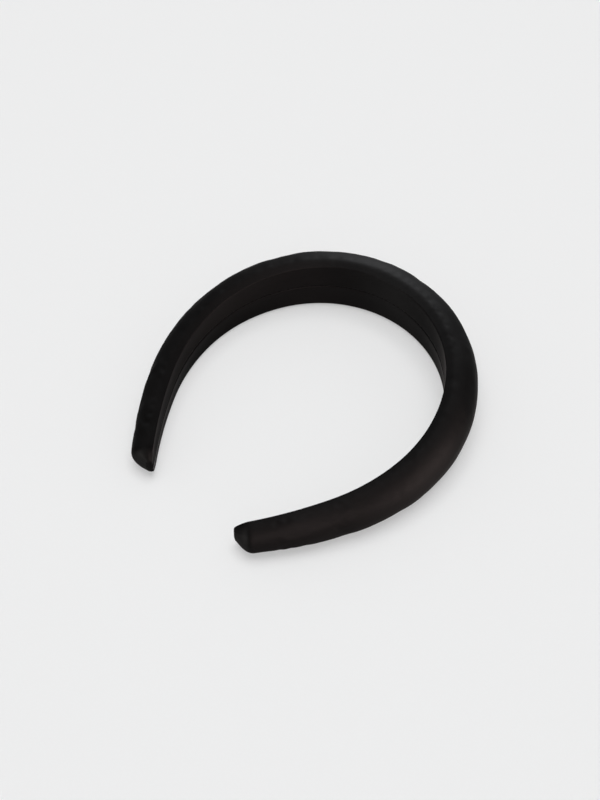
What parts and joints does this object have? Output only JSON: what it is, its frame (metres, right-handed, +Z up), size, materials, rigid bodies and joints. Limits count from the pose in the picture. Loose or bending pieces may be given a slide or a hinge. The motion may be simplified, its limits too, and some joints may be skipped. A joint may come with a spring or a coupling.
{
  "type": "padded headband",
  "caption": "Black satin padded headband: an open, sprung hoop with a domed pad on the outside, a flat inner face with a seam along its middle, and blunt tapered tips.",
  "frame": {"origin": "on the resting surface, at the middle of the band's length and width as it lies on its side", "axes": "+Z up from the table, across the band's width; +Y from the gap between the tips to the crown; +X to the right side of the hoop"},
  "size_m": [0.152, 0.1632, 0.0334],
  "materials": {
    "satin": "black satin weave with a soft sheen",
    "foam": "open-cell polyurethane foam",
    "tape": "double-sided tissue tape",
    "hoop_plastic": "moulded black plastic, fine matte",
    "thread": "black polyester sewing thread",
    "glue": "set hot-melt glue"
  },
  "bodies": {
    "crown": {"cover_crown": "satin", "foam_crown": "foam", "tape_crown": "tape", "hoop_crown": "hoop_plastic", "seam_thread_crown": "thread"},
    "left_arm": {"cover_left_arm": "satin", "foam_left_arm": "foam", "tape_left_arm": "tape", "hoop_left_arm": "hoop_plastic", "seam_thread_left_arm": "thread", "glue_left_tip": "glue", "stitches_left_tip": "thread"},
    "right_arm": {"cover_right_arm": "satin", "foam_right_arm": "foam", "tape_right_arm": "tape", "hoop_right_arm": "hoop_plastic", "seam_thread_right_arm": "thread", "glue_right_tip": "glue", "stitches_right_tip": "thread"}
  },
  "joints": [
    {"name": "left_arm_flex", "type": "hinge", "parent": "crown", "child": "left_arm", "pos_m": [-0.06431, 0.04496, 0.01567], "axis": [0, 0.053, -0.9986], "range_deg": [0, 18], "stiffness_Nm_per_rad": 0.55},
    {"name": "right_arm_flex", "type": "hinge", "parent": "crown", "child": "right_arm", "pos_m": [0.06431, 0.04496, 0.01567], "axis": [0, -0.053, 0.9986], "range_deg": [0, 18], "stiffness_Nm_per_rad": 0.55}
  ]
}
